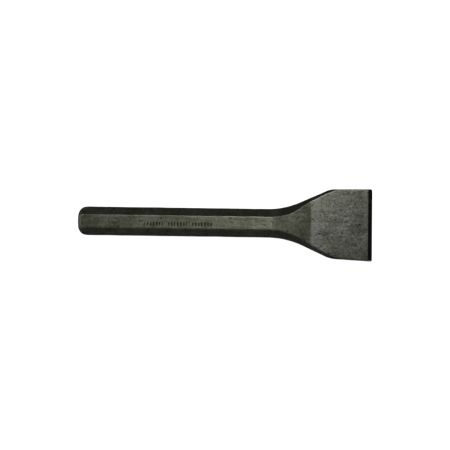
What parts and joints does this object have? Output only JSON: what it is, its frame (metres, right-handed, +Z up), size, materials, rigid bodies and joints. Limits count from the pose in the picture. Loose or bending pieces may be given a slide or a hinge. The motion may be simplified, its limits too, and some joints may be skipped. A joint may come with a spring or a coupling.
{
  "type": "brick bolster chisel",
  "caption": "Hand chisel forged from hexagonal steel bar: crowned struck head, plain hexagonal shank, flared neck and a wide flat blade that thins to a short bevelled cutting edge.",
  "frame": {"origin": "under the middle of the tool, on the surface that it lies on, with one flat of the hexagon down", "axes": "+X along the bar from the struck head to the cutting edge, +Y across the blade, +Z up from the lower flat to the stamped flat; the bar's axis is 8 mm above the origin"},
  "size_m": [0.186, 0.0458, 0.016],
  "materials": {
    "forged_steel": "as forged and blackened, fine-grained satin"
  },
  "bodies": {
    "root": {"bolster_chisel": "forged_steel"}
  },
  "joints": []
}
